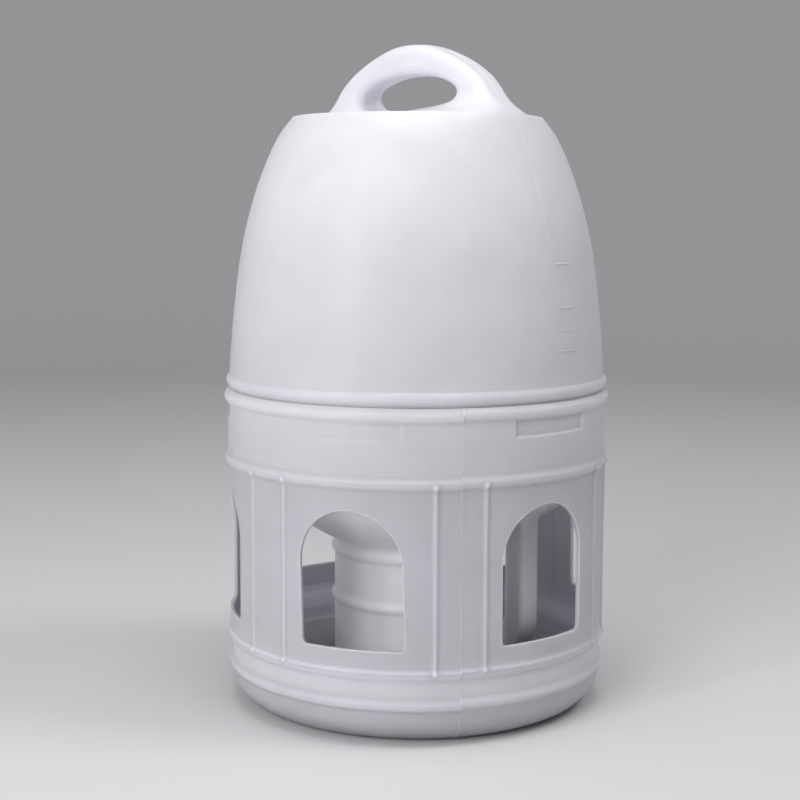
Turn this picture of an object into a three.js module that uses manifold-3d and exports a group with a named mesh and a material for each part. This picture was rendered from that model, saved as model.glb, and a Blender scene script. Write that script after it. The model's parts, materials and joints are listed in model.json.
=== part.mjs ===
// Gravity feeder and drinker for poultry: a bell-shaped reservoir stands in a round base with six arched
// feeding windows. Millimetres, +Z up, origin at the centre of the base's flat foot, front is -Y.
// Each of the two pieces is one hollow moulding of constant wall thickness.
import * as THREE from 'three';
import { mergeVertices } from 'three/addons/utils/BufferGeometryUtils.js';
import Module from 'manifold-3d';

const wasm = await Module();
wasm.setup();

// ---- driving dimensions --------------------------------------------------------------------------
const SEGMENTS = 48; // facets round every turned surface
const WALL = 2; // wall of both mouldings
const FIT_GAP = 0.3; // between the reservoir's ledge and the base's rim

const BEAD_HEIGHT = 1.6; // how far a ring bead stands out of its wall
const BEAD_HALF_WIDTH = 3;

// base: a trough, a wall with windows, and a collar that the reservoir drops into
const TROUGH_RADIUS = 95.5;
const TROUGH_CORNER = 17.4; // radius between foot and trough wall
const WALL_RADIUS = 96.4;
const COLLAR_RADIUS = 96.6;
const LOWER_BEAD_Z = 20.6;
const SILL_BEAD_Z = 35.4;
const MIDDLE_BEAD_Z = 125.5;
const RIM_BEAD_Z = 157.2;
const BASE_TOP_Z = 160.8;
const FEATURES_ROUND = 6; // windows, rib pairs and lock pads

const WINDOW_HALF_WIDTH = 25.9;
const WINDOW_SILL_Z = 46.8;
const WINDOW_TOP_Z = 112.4;
const WINDOW_CORNER = 3;
const WINDOW_CUT = 40; // depth of the cutting shape
const WINDOW_TURN = -2.4; // degrees, the cut-outs sit a little off the middle between the ribs

const RIB_TURN = 29.7; // degrees, rib pairs stand between the windows
const RIB_HALF_SPREAD = 7.1; // degrees, half the angle between the two ribs of a pair
const RIB_WIDTH = 2.6;
const RIB_HEIGHT = 1.0;

const PAD_TURN = -0.5; // degrees, lock pads pressed into the collar
const PAD_HALF_ANGLE = 13.5;
const PAD_LOW_Z = 146;
const PAD_HIGH_Z = 153.6;
const PAD_DEPTH = 1.2;

// reservoir: dome, skirt inside the collar, funnel and outlet neck
const DOME_FOOT_RADIUS = 95.5;
const DOME_TOP_Z = 296.5;
const DOME_TOP_RADIUS = 63.6;
const SHOULDER_BEAD_Z = 164.9;
const SKIRT_RADIUS = 92;
const SKIRT_LOW_Z = 120;
const NECK_RADIUS = 42;
const NECK_TOP_Z = 82;
const NECK_END_Z = 22.6;
const NECK_BEADS_Z = [77.8, 52.4];

const LUG_HALF_ANGLE = 10; // degrees, twist-lock lugs, which pass between the pads as the reservoir lifts
const LUG_LOW_Z = 135;
const LUG_HIGH_Z = 143;
const LUG_HEIGHT = 1.8;

// carrying handle and neck handle, both on the reservoir's parting plane
const PARTING_TURN = 61.8; // degrees
const HANDLE_LINE = [ // half of the arch's outline, distance from the axis and height
  [0, 332.4], [21.2, 328.5], [41.4, 318.8], [54.2, 306.2], [60, 293], [62, 268],
];
const HANDLE_THICKNESS = 22;
const HANDLE_EDGE = 5; // rounding of the arch's edges
const HANDLE_STEPS = 16; // facets along each half of the outline
const HOLE_HALF_WIDTH = 34.5;
const HOLE_LOW_Z = 299;
const HOLE_HIGH_Z = 317.3;

const STRAP_INNER = 68; // neck handle's upright strap, from the axis
const STRAP_OUTER = 78.2;
const STRAP_THICKNESS = 12.6;
const STRAP_LOW_Z = 32;
const STRAP_CORNER = 20;
const STRAP_EDGE = 1.5; // rounding of the strap's edges
const STRAP_TOP_Z = 104; // inside the funnel's wall
const SLOT_LOW_Z = 46.6;
const SLOT_CORNER = 8;

const MARK_TURN = 66.8; // degrees, the fill marks beside the parting line
const MARKS_Z = [225.6, 204.9, 184.4];
const MARK_LENGTH = 8;
const MARK_WIDTH = 0.9;
const MARK_RISE = 0.4;

const OVERCUT = 5; // how far a cutting shape passes the surface that it opens

// ---- helpers -------------------------------------------------------------------------------------
const radians = THREE.MathUtils.degToRad;
const point = (r, z) => new THREE.Vector2(r, z);

function solid(geometry) {
  geometry.deleteAttribute('normal');
  geometry.deleteAttribute('uv');
  const merged = mergeVertices(geometry, 1e-4);
  const corners = merged.index.array;
  const kept = [];
  for (let i = 0; i < corners.length; i += 3) {
    const [a, b, c] = corners.slice(i, i + 3);
    if (a !== b && b !== c && c !== a) kept.push(a, b, c);
  }
  return new wasm.Manifold(new wasm.Mesh({
    numProp: 3,
    vertProperties: new Float32Array(merged.attributes.position.array),
    triVerts: new Uint32Array(kept),
  }));
}

function joined(first, others) {
  return others.reduce((sum, other) => sum.add(other), first);
}

// a profile of radius and height, from the axis round to the axis, anticlockwise
function turned(profile) {
  const lathe = new THREE.LatheGeometry(profile, SEGMENTS);
  return solid(lathe.rotateX(Math.PI / 2));
}

// moves a geometry from +X out to the direction at this many degrees from the front, seen from above
function turnTo(geometry, degrees) {
  return geometry.rotateZ(radians(degrees - 90));
}

// an upright plate on the plane through the axis; its outline is drawn in radius and height
function radialPlate(outline, thickness, bevel, degrees) {
  const plate = new THREE.ExtrudeGeometry(outline, {
    depth: thickness - 2 * bevel,
    bevelEnabled: bevel > 0,
    bevelSize: bevel,
    bevelOffset: -bevel,
    bevelThickness: bevel,
    bevelSegments: 2,
    curveSegments: 10,
  });
  plate.translate(0, 0, bevel - thickness / 2);
  plate.rotateX(Math.PI / 2);
  return solid(turnTo(plate, degrees));
}

// a block that follows the wall: part of a ring between two radii and two heights
function ringBlock(inner, outer, low, high, halfAngle, degrees) {
  const ring = new THREE.Shape();
  ring.absarc(0, 0, outer, -radians(halfAngle), radians(halfAngle), false);
  ring.absarc(0, 0, inner, radians(halfAngle), -radians(halfAngle), true);
  const block = new THREE.ExtrudeGeometry(ring, { depth: high - low, bevelEnabled: false, curveSegments: 4 });
  return solid(turnTo(block.translate(0, 0, low), degrees));
}

// a ring bead that stands out of a wall, as profile points from its lower edge up
function beadUp(wallBelow, wallAbove, z) {
  const crest = wallBelow + BEAD_HEIGHT;
  const mid = THREE.MathUtils.lerp;
  return [
    point(wallBelow, z - BEAD_HALF_WIDTH),
    point(mid(wallBelow, crest, 0.75), z - 0.55 * BEAD_HALF_WIDTH),
    point(crest, z),
    point(mid(wallAbove, crest, 0.75), z + 0.55 * BEAD_HALF_WIDTH),
    point(wallAbove, z + BEAD_HALF_WIDTH),
  ];
}

function arcPoints(r, z, radius, from, to, steps) {
  return Array.from({ length: steps + 1 }, (_, i) => {
    const angle = radians(from + ((to - from) * i) / steps);
    return point(r + radius * Math.cos(angle), z + radius * Math.sin(angle));
  });
}

const round = (count, turn) => Array.from({ length: count }, (_, i) => turn + (360 / count) * i);

// ---- base ----------------------------------------------------------------------------------------
function baseOutside() {
  return turned([
    point(0, 0),
    ...arcPoints(TROUGH_RADIUS - TROUGH_CORNER, TROUGH_CORNER, TROUGH_CORNER, -90, 0, 5),
    ...beadUp(TROUGH_RADIUS, TROUGH_RADIUS, LOWER_BEAD_Z),
    ...beadUp(TROUGH_RADIUS, WALL_RADIUS, SILL_BEAD_Z),
    ...beadUp(WALL_RADIUS, COLLAR_RADIUS, MIDDLE_BEAD_Z),
    ...beadUp(COLLAR_RADIUS, COLLAR_RADIUS, RIM_BEAD_Z),
    point(COLLAR_RADIUS, BASE_TOP_Z),
    point(0, BASE_TOP_Z),
  ]);
}

function baseInside() {
  const corner = TROUGH_CORNER - WALL;
  return turned([
    point(0, WALL),
    ...arcPoints(TROUGH_RADIUS - TROUGH_CORNER, TROUGH_CORNER, corner, -90, 0, 5),
    point(TROUGH_RADIUS - WALL, SILL_BEAD_Z),
    point(COLLAR_RADIUS - WALL, MIDDLE_BEAD_Z),
    point(COLLAR_RADIUS - WALL, BASE_TOP_Z + OVERCUT),
    point(0, BASE_TOP_Z + OVERCUT),
  ]);
}

function windowCut(degrees) {
  const spring = WINDOW_TOP_Z - WINDOW_HALF_WIDTH;
  const w = WINDOW_HALF_WIDTH;
  const c = WINDOW_CORNER;
  const arch = new THREE.Shape();
  arch.moveTo(-w + c, WINDOW_SILL_Z);
  arch.lineTo(w - c, WINDOW_SILL_Z);
  arch.lineTo(w, WINDOW_SILL_Z + c);
  arch.absarc(0, spring, w, 0, Math.PI, false);
  arch.lineTo(-w, WINDOW_SILL_Z + c);
  const cut = new THREE.ExtrudeGeometry(arch, { depth: WINDOW_CUT, bevelEnabled: false, curveSegments: 14 });
  cut.rotateX(Math.PI / 2);
  cut.rotateZ(Math.PI / 2);
  cut.translate(WALL_RADIUS - WINDOW_CUT / 2, 0, 0);
  return solid(turnTo(cut, degrees));
}

function rib(degrees) {
  const low = SILL_BEAD_Z;
  const high = MIDDLE_BEAD_Z;
  const bar = new THREE.BoxGeometry(WALL / 2 + RIB_HEIGHT, RIB_WIDTH, high - low);
  bar.translate(WALL_RADIUS + RIB_HEIGHT - bar.parameters.width / 2, 0, (low + high) / 2);
  return solid(turnTo(bar, degrees));
}

function makeBase() {
  const ribs = round(FEATURES_ROUND, RIB_TURN).flatMap((turn) => [
    rib(turn - RIB_HALF_SPREAD),
    rib(turn + RIB_HALF_SPREAD),
  ]);
  const inner = COLLAR_RADIUS - WALL;
  const lugs = round(FEATURES_ROUND, PAD_TURN).map((turn) =>
    ringBlock(inner - PAD_DEPTH, inner + WALL / 2, PAD_LOW_Z - WALL, PAD_HIGH_Z, PAD_HALF_ANGLE, turn));
  const pads = round(FEATURES_ROUND, PAD_TURN).map((turn) =>
    ringBlock(COLLAR_RADIUS - PAD_DEPTH, COLLAR_RADIUS + OVERCUT, PAD_LOW_Z, PAD_HIGH_Z, PAD_HALF_ANGLE, turn));
  const shell = joined(baseOutside(), ribs).subtract(baseInside());
  const windows = round(FEATURES_ROUND, WINDOW_TURN).map(windowCut);
  return [...pads, ...windows].reduce((rest, cut) => rest.subtract(cut), joined(shell, lugs));
}

// ---- reservoir -----------------------------------------------------------------------------------
// the dome's side, from its foot above the shoulder bead up to the rim of its flat top
function domeSide(inset) {
  const side = new THREE.SplineCurve([
    point(DOME_FOOT_RADIUS, SHOULDER_BEAD_Z + BEAD_HALF_WIDTH),
    point(92.4, 204),
    point(85.9, 245),
    point(75.5, 276),
    point(67.7, 290.5),
    point(DOME_TOP_RADIUS, DOME_TOP_Z - 0.6),
  ]);
  return side.getPoints(9).map((p) => point(p.x - inset, p.y));
}

// the skirt's lower corner, the funnel and the top of the neck, from the neck up; inset goes into the wall
function funnel(inset) {
  const side = new THREE.SplineCurve([
    point(NECK_RADIUS - inset, NECK_TOP_Z + inset),
    point(45.6 - inset, 84.8 + inset / 2),
    point(68.6 - inset, 97.6 + inset),
    point(88 - inset, 111.4 + inset),
    point(SKIRT_RADIUS - inset, SKIRT_LOW_Z + inset),
  ]);
  return side.getPoints(8);
}

function reservoirOutside() {
  const ledge = BASE_TOP_Z + FIT_GAP;
  return turned([
    point(0, NECK_END_Z),
    point(NECK_RADIUS, NECK_END_Z),
    ...beadUp(NECK_RADIUS, NECK_RADIUS, NECK_BEADS_Z[1]),
    ...beadUp(NECK_RADIUS, NECK_RADIUS, NECK_BEADS_Z[0]).slice(0, 4),
    ...funnel(0).slice(1),
    point(SKIRT_RADIUS, ledge),
    point(DOME_FOOT_RADIUS, ledge),
    ...beadUp(DOME_FOOT_RADIUS, DOME_FOOT_RADIUS, SHOULDER_BEAD_Z).slice(1, 4),
    ...domeSide(0),
    point(DOME_TOP_RADIUS - 1.2, DOME_TOP_Z),
    point(0, DOME_TOP_Z),
  ]);
}

function reservoirInside() {
  return turned([
    point(0, NECK_END_Z - OVERCUT),
    point(NECK_RADIUS - WALL, NECK_END_Z - OVERCUT),
    ...funnel(WALL),
    point(SKIRT_RADIUS - WALL, BASE_TOP_Z),
    ...domeSide(WALL).slice(0, -1),
    point(DOME_TOP_RADIUS - WALL, DOME_TOP_Z - WALL),
    point(0, DOME_TOP_Z - WALL),
  ]);
}

// the carrying arch: a plate with a round top and a finger hole, whose foot runs down into the dome
function carryHandle(inset) {
  const line = new THREE.SplineCurve(HANDLE_LINE.map(([along, z]) => point(along, z)));
  const right = Array.from({ length: HANDLE_STEPS }, (_, i) => {
    const share = 1 - i / HANDLE_STEPS;
    const along = line.getTangent(share);
    return line.getPoint(share).add(point(along.y, -along.x).multiplyScalar(inset));
  });
  const left = right.map((p) => point(-p.x, p.y)).reverse();
  const arch = new THREE.Shape([...right, point(0, HANDLE_LINE[0][1] - inset), ...left]);
  const hole = new THREE.Path();
  const halfWidth = HOLE_HALF_WIDTH + inset;
  const low = HOLE_LOW_Z - inset;
  hole.moveTo(halfWidth, low);
  hole.absellipse(0, low, halfWidth, HOLE_HIGH_Z + inset - low, 0, Math.PI, false);
  arch.holes.push(hole);
  return radialPlate(arch, HANDLE_THICKNESS - 2 * inset, inset > 0 ? 0 : HANDLE_EDGE, PARTING_TURN);
}

// the neck handle: an upright strap from the funnel that turns in to the neck below the finger slot
function neckHandle() {
  const strap = new THREE.Shape();
  const root = NECK_RADIUS - WALL / 2;
  const low = STRAP_LOW_Z;
  const slot = SLOT_LOW_Z;
  strap.moveTo(root, low);
  strap.absarc(STRAP_OUTER - STRAP_CORNER, low + STRAP_CORNER, STRAP_CORNER, -Math.PI / 2, 0, false);
  strap.lineTo(STRAP_OUTER, STRAP_TOP_Z);
  strap.lineTo(STRAP_INNER, STRAP_TOP_Z);
  strap.absarc(STRAP_INNER - SLOT_CORNER, slot + SLOT_CORNER, SLOT_CORNER, 0, -Math.PI / 2, true);
  strap.lineTo(root, slot);
  return radialPlate(strap, STRAP_THICKNESS, STRAP_EDGE, PARTING_TURN);
}

function fillMark(z) {
  const bar = new THREE.BoxGeometry(WALL, MARK_LENGTH, MARK_WIDTH);
  const radius = THREE.MathUtils.mapLinear(z, MARKS_Z[2], MARKS_Z[0], 94.2, 89.7);
  bar.translate(radius - WALL / 2 + MARK_RISE, 0, z);
  return solid(turnTo(bar, MARK_TURN));
}

function makeReservoir() {
  const lugs = round(FEATURES_ROUND, RIB_TURN).map((turn) =>
    ringBlock(SKIRT_RADIUS - WALL / 2, SKIRT_RADIUS + LUG_HEIGHT, LUG_LOW_Z, LUG_HIGH_Z, LUG_HALF_ANGLE, turn));
  const outside = joined(reservoirOutside(), [carryHandle(0), neckHandle(), ...lugs, ...MARKS_Z.map(fillMark)]);
  const inside = joined(reservoirInside(), [carryHandle(WALL)]);
  return outside.subtract(inside);
}

// ---- scene ---------------------------------------------------------------------------------------
function named(name, shape, color) {
  const { vertProperties, triVerts } = shape.getMesh();
  const geometry = new THREE.BufferGeometry();
  geometry.setAttribute('position', new THREE.BufferAttribute(vertProperties, 3));
  geometry.setIndex(new THREE.BufferAttribute(triVerts, 1));
  geometry.computeVertexNormals();
  const material = new THREE.MeshStandardMaterial({ color, roughness: 0.42, metalness: 0 });
  const mesh = new THREE.Mesh(geometry, material);
  mesh.name = name;
  return mesh;
}

const feeder = new THREE.Group();
feeder.add(named('base', makeBase(), 0xeceaee));
feeder.add(named('reservoir', makeReservoir(), 0xf1eff3));

export default feeder;
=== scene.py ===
"""Looks of the gravity feeder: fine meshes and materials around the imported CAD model. Metres, +Z up."""
import json
import math

import bmesh
import bpy
import numpy as np
from mathutils import Matrix, Vector


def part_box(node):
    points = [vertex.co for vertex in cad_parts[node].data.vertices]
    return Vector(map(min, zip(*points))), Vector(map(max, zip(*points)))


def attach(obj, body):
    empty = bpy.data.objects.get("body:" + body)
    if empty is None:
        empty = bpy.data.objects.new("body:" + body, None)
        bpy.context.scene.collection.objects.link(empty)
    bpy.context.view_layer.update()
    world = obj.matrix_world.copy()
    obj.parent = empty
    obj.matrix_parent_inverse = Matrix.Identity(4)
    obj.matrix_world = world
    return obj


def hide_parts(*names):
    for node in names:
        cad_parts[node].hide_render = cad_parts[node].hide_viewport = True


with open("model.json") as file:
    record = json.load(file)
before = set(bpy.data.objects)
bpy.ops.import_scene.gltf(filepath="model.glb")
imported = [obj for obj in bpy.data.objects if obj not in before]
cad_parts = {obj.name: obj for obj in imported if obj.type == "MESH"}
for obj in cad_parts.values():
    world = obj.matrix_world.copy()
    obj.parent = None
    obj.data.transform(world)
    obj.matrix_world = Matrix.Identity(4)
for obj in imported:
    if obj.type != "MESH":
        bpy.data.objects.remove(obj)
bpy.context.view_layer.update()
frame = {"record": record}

# ---- sizes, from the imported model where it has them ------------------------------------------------
MM = 0.001
base_low, base_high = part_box("base")
bell_low, bell_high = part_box("reservoir")

RING_RADIUS = (base_high.x - base_low.x) / 2  # crest of the base's rim bead
BASE_TOP = base_high.z
HANDLE_TOP = bell_high.z
NECK_END = bell_low.z

WALL = 2.0 * MM
BEAD_HEIGHT = 1.6 * MM
BEAD_HALF = 3.0 * MM
EDGE_ROUND = 0.4 * MM  # rounding of cut edges

COLLAR_RADIUS = RING_RADIUS - BEAD_HEIGHT
WALL_RADIUS = COLLAR_RADIUS - 0.2 * MM
TROUGH_RADIUS = WALL_RADIUS - 0.9 * MM
TROUGH_CORNER = 17.4 * MM
FLOOR_RADIUS = TROUGH_RADIUS - TROUGH_CORNER
CORNER_LENGTH = TROUGH_CORNER * math.pi / 2
LOWER_BEAD_Z = 20.6 * MM
SILL_BEAD_Z = 35.4 * MM
MIDDLE_BEAD_Z = 125.5 * MM
RIM_BEAD_Z = BASE_TOP - 3.6 * MM
BASE_BEADS_Z = (LOWER_BEAD_Z, SILL_BEAD_Z, MIDDLE_BEAD_Z, RIM_BEAD_Z)

WINDOW_TURN = -2.4  # degrees from the front
WINDOW_HALF = 25.9 * MM
WINDOW_SILL_Z = 46.8 * MM
WINDOW_TOP_Z = 112.4 * MM
WINDOW_CORNER = 2.0 * MM
WINDOW_TRIM = ((0.03, 0), (0, 0), (-0.01, 0), (0.01, 0.6), (0.0, 2.2), (-0.01, 0.4))  # skew, sill's lift
WINDOW_ROUGHNESS = 0.16 * MM  # how far a cut wanders
BURR = 0.12 * MM
PATCH_HALF = 18.5  # degrees, half the width of the mesh patch round a window
PATCH_LOW, PATCH_HIGH = 41.5 * MM, 117 * MM

RIB_TURN, RIB_SPREAD = 29.7, 7.1  # degrees
RIB_HALF = 1.9 * MM
RIB_HEIGHT = 1.0 * MM
PAD_TURN, PAD_HALF = -0.5, 13.5  # degrees
PAD_LOW, PAD_HIGH = 146 * MM, 153.6 * MM
PAD_DEPTH = 1.1 * MM
BASE_SEAM = 30.0  # degrees, the base's parting line
BASE_FLASH = 0.16 * MM  # height of the thin line left at the seam
MOULD_STEP = 0.35 * MM  # how far each half's beads sit above or below the middle
BASE_WAVES, BELL_WAVES = 0.09 * MM, 0.1 * MM  # slow unevenness of the walls

BELL_FOOT_RADIUS = COLLAR_RADIUS - 1.0 * MM
BELL_TOP = 296.5 * MM
BELL_TOP_RADIUS = 63.8 * MM
SHOULDER_BEAD_Z = BASE_TOP + 4.1 * MM
LEDGE_Z = BASE_TOP + 0.15 * MM
SKIRT_RADIUS = 92 * MM
NECK_RADIUS = 42 * MM
FUNNEL_END = 82 * MM
NECK_BEADS_Z = (77.8 * MM, 52.4 * MM)
LUG_LOW, LUG_HIGH, LUG_HALF, LUG_HEIGHT = 135 * MM, 143 * MM, 10.0, 1.7 * MM

BELL_SIDE = ((67.6, 290.6), (75.6, 275.7), (82.8, 256.0), (88.2, 235.0), (92.1, 209.0), (94.4, 185.0))  # mm
FUNNEL_SIDE = ((91.3, 119.6), (88.2, 113.4), (80.4, 105.6), (68.6, 97.6), (54.9, 89.8), (45.6, 84.8))  # mm
SKIRT_LOW = 131 * MM  # where the skirt starts to turn in to the funnel
HANDLE_MESH_Z = 262 * MM  # the mesh of the arch starts here, far below its foot
BELL_FLASH = 0.27 * MM
ARCH_BLEND, STRAP_BLEND = 11 * MM, 5 * MM  # how softly the handles run into the bell and the neck

PARTING_TURN = 61.8  # degrees, plane of the reservoir's seam and of both handles
HANDLE_LINE = (  # half of the arch's outer edge, mm
    (0, 332.4), (10.6, 331.5), (21.2, 328.5), (32.2, 324.0), (41.4, 318.8), (48.6, 313.1),
    (54.2, 306.2), (57.8, 299.8), (60.0, 293), (61.4, 284), (62, 268),
)
HANDLE_HALF = 9.6 * MM
HANDLE_EDGE = 5.5 * MM
HOLE_HALF = 34.5 * MM
HOLE_LOW, HOLE_WIDEST, HOLE_HIGH = 298.4 * MM, 305.5 * MM, 317.3 * MM
ARCH_MIDDLE_Z = 301.5 * MM  # in the finger hole, just over the ridge between the arch's feet
MOUND_HEIGHT = 4.8 * MM  # of the swelling on one side of each foot of the arch
STRAP_INNER, STRAP_OUTER = 67.6 * MM, 79.7 * MM
STRAP_HALF = 6.3 * MM
STRAP_LOW, SLOT_LOW = 32 * MM, 46.6 * MM
STRAP_CORNER, SLOT_CORNER = 20 * MM, 8 * MM
STRAP_ROOT_HIGH, STRAP_ROOT_LOW = 48 * MM, 27 * MM  # its lower root on the neck
ROOT_HALF = 14  # degrees, half the width of the strap's roots in the mesh
FOOT_HALF = 32  # the same for the arch's feet
MARKS_Z = (225.6 * MM, 204.9 * MM, 194.1 * MM, 184.4 * MM)
MARK_TURN = PARTING_TURN + 5.6
MARK_SPREADS = (4.2, 4.2, 4.2 * 0.7, 4.2)  # degrees, half of each mark's length
MARK_HALF, MARK_RISE, MARK_ROOT = 0.6 * MM, 0.34 * MM, 0.6 * MM

CAMERA_TURN = 17.0  # degrees from the front
CAMERA_RISE = 8.93  # degrees above the middle bead
CAMERA_DISTANCE = 0.8242
CAMERA_LENS = 71.5
CAMERA_PAN, CAMERA_TILT, CAMERA_ROLL = 0.58, 1.89, 0.3  # degrees

# painted shade: how much of the plastic's colour is left at each height in mm; the base is darkest at its
# foot, the bell darker low than high
BASE_PAINTED_SHADE = ((0, 0.38), (14, 0.55), (28, 0.75), (44, 0.59), (118, 0.59), (132, 0.7), (161, 0.77))
BELL_PAINTED_SHADE = ((125, 1.0), (168, 0.73), (215, 0.79), (270, 0.92))
# painted shade: share of the colour left on the neck's handle
STRAP_PAINTED_SHADE = 0.6
NECK_PAINTED_GLOW = 0.085  # painted light: an emission on the neck, standing in for light that reaches it through the thin walls round it

COVE_RADIUS, COVE_BEND, COVE_HEIGHT = 1.6, 0.9, 2.4
PAPER = (0.72, 0.72, 0.73)
SKY, SKY_STRENGTH = (0.97, 0.97, 1.0, 1), 0.24
LIGHTS = (  # name, turn from the front, rise, distance, size, power, height aimed at, seen in reflections
    ("overhead", 17, 80, 1.2, (0.8, 0.8), 6.6, 0.25, True),
    ("key", -8, 20, 1.35, (0.5, 0.6), 6.6, 0.2, False),
    ("strip", -27, 20, 1.2, (0.12, 1.3), 3.1, 0.2, True),
    ("left_fill", -50, 8, 1.3, (0.3, 0.3), 1.3, 0.08, False),
    ("right_fill", 96, 50, 1.5, (0.5, 0.5), 6.6, 0.27, False),
)


# ---- numbers and curves ----------------------------------------------------------------------------
def ease(x, low, high):
    t = np.clip((x - low) / (high - low), 0, 1)
    return t * t * (3 - 2 * t)


def band(x, low, high, edge):
    return ease(x, low - edge / 2, low + edge / 2) * (1 - ease(x, high - edge / 2, high + edge / 2))


def graded(low, high, coarse, spots=(), growth=0.35):
    """Places from low to high, a coarse step apart, and closer near each spot (place, fine step)."""
    x = np.linspace(low, high, 6001)
    step = np.full_like(x, coarse)
    for place, fine in spots:
        step = np.minimum(step, fine + growth * np.abs(x - place))
    count = np.concatenate([[0], np.cumsum(np.diff(x) / ((step[1:] + step[:-1]) / 2))])
    return np.interp(np.linspace(0, count[-1], max(2, math.ceil(count[-1]) + 1)), count, x)


def spline(points, count):
    """Natural cubic spline through the points, as count + 1 evenly spaced places."""
    p = np.array(points, float)
    t = np.concatenate([[0], np.cumsum(np.linalg.norm(np.diff(p, axis=0), axis=1))])
    h = np.diff(t)
    n = len(p)
    a, b = np.eye(n), np.zeros((n, 2))
    for i in range(1, n - 1):
        a[i, i - 1 : i + 2] = h[i - 1], 2 * (h[i - 1] + h[i]), h[i]
        b[i] = 6 * ((p[i + 1] - p[i]) / h[i] - (p[i] - p[i - 1]) / h[i - 1])
    m = np.linalg.solve(a, b)
    u = np.linspace(0, t[-1], count + 1)
    i = np.clip(np.searchsorted(t, u) - 1, 0, n - 2)
    left, right, w = (t[i + 1] - u)[:, None], (u - t[i])[:, None], h[i][:, None]
    return (
        (m[i] * left**3 + m[i + 1] * right**3) / (6 * w)
        + (p[i] / w - m[i] * w / 6) * left
        + (p[i + 1] / w - m[i + 1] * w / 6) * right
    )


def bead(z, centre, height=BEAD_HEIGHT, half=BEAD_HALF, soft=0.25 * MM):
    """A ring bead of round section, with a small fillet on each side."""
    radius = (half**2 + height**2) / (2 * height)
    rise = np.sqrt(np.maximum(radius**2 - (z - centre) ** 2, 0)) - (radius - height)
    return (rise + np.sqrt(rise**2 + soft**2)) / 2


def angle_from(degrees, centre):
    """Signed angle from centre, in degrees."""
    return (degrees - centre + 180) % 360 - 180


def nearest_of(degrees, turn, count):
    """Signed angle to the nearest of count equally spaced directions, the first at turn."""
    pitch = 360 / count
    return (degrees - turn + pitch / 2) % pitch - pitch / 2


def round_axis(radius, degrees, z):
    angle = np.radians(degrees)
    return np.stack([radius * np.sin(angle), -radius * np.cos(angle), z + 0 * angle], -1)


def waves(degrees, z, size):
    """Slow unevenness of a moulded wall."""
    a = np.radians(degrees)
    slow = np.sin(3 * a + 1.3 + 21 * z) + 0.7 * np.sin(5 * a - 0.6 - 37 * z) + 0.5 * np.sin(8 * a + 60 * z)
    return size * slow


# ---- meshes ----------------------------------------------------------------------------------------
class Skin:
    """Collects grids of points and joins them where they meet."""

    def __init__(self):
        self.points, self.faces, self.count = [], [], 0

    def grid(self, points, closed=False, skip=None):
        rows, cols = points.shape[:2]
        index = np.arange(rows * cols).reshape(rows, cols) + self.count
        self.points.append(points.reshape(-1, 3))
        self.count += rows * cols
        last = cols if closed else cols - 1
        for i in range(rows - 1):
            for j in range(last):
                if skip is None or not skip(i, j):
                    k = (j + 1) % cols
                    self.faces.append((index[i, j], index[i, k], index[i + 1, k], index[i + 1, j]))

    def build(self, name):
        points = np.concatenate(self.points)
        key = np.round(points / 1e-7).astype(np.int64)
        _, first, merged = np.unique(key, axis=0, return_index=True, return_inverse=True)
        merged = merged.reshape(-1)
        faces = []
        for face in self.faces:
            ring = []
            for v in (merged[i] for i in face):
                if v not in ring:
                    ring.append(int(v))
            if len(ring) > 2:
                faces.append(ring)
        mesh = bpy.data.meshes.new(name)
        mesh.from_pydata(points[first].tolist(), [], faces)
        mesh.validate()
        return finished(mesh, name)


def finished(mesh, name):
    """An object of the mesh, with its faces turned outward and shaded smooth."""
    work = bmesh.new()
    work.from_mesh(mesh)
    bmesh.ops.recalc_face_normals(work, faces=work.faces)
    work.to_mesh(mesh)
    work.free()
    for polygon in mesh.polygons:
        polygon.use_smooth = True
    piece = bpy.data.objects.new(name, mesh)
    bpy.context.scene.collection.objects.link(piece)
    return piece


# ---- base ------------------------------------------------------------------------------------------
def wall_radius(z):
    """Outside radius of the base's wall between its beads."""
    lower = TROUGH_RADIUS + (WALL_RADIUS - TROUGH_RADIUS) * ease(z, SILL_BEAD_Z, SILL_BEAD_Z + 2 * MM)
    return lower + (COLLAR_RADIUS - WALL_RADIUS) * ease(z, MIDDLE_BEAD_Z, MIDDLE_BEAD_Z + 2 * MM)


def mould_step(degrees, z):
    """The two halves of the base's mould meet with a small upward step on one side of the seam."""
    side = angle_from(degrees, BASE_SEAM + 90)
    up = ease(side, -90.25, -89.75) * (1 - ease(side, 89.75, 90.25)) * 2 - 1
    reach = ease(z, 8 * MM, 20 * MM) * (1 - ease(z, BASE_TOP - 1.6 * MM, BASE_TOP - 0.2 * MM))
    return MOULD_STEP * up * reach


def base_features(degrees, z):
    """Height of the ribs, of the pads from 0 to 1, and of the seam's flash over the base's wall."""
    rib_off = np.minimum(*[np.abs(nearest_of(degrees, RIB_TURN + s * RIB_SPREAD, 6)) for s in (-1, 1)])
    across = np.radians(rib_off) * WALL_RADIUS / RIB_HALF
    rib = RIB_HEIGHT * (1 - ease(across, 0.15, 1)) * band(z, SILL_BEAD_Z, MIDDLE_BEAD_Z, 2 * MM)
    pad_off = nearest_of(degrees, PAD_TURN, 6)
    pad = band(pad_off, -PAD_HALF, PAD_HALF, 0.7) * band(z, PAD_LOW, PAD_HIGH, 0.9 * MM)
    pad = pad * np.where(angle_from(degrees, BASE_SEAM + 90) > -90, 1, 0.3)
    seam_off = np.radians(nearest_of(degrees, BASE_SEAM, 2)) * WALL_RADIUS
    flash = BASE_FLASH * (1 + 0.4 * np.sin(900 * z)) * np.exp(-((seam_off / (0.35 * MM)) ** 2))
    return rib, pad, flash * ease(z, 0.5 * MM, 4 * MM)


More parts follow.
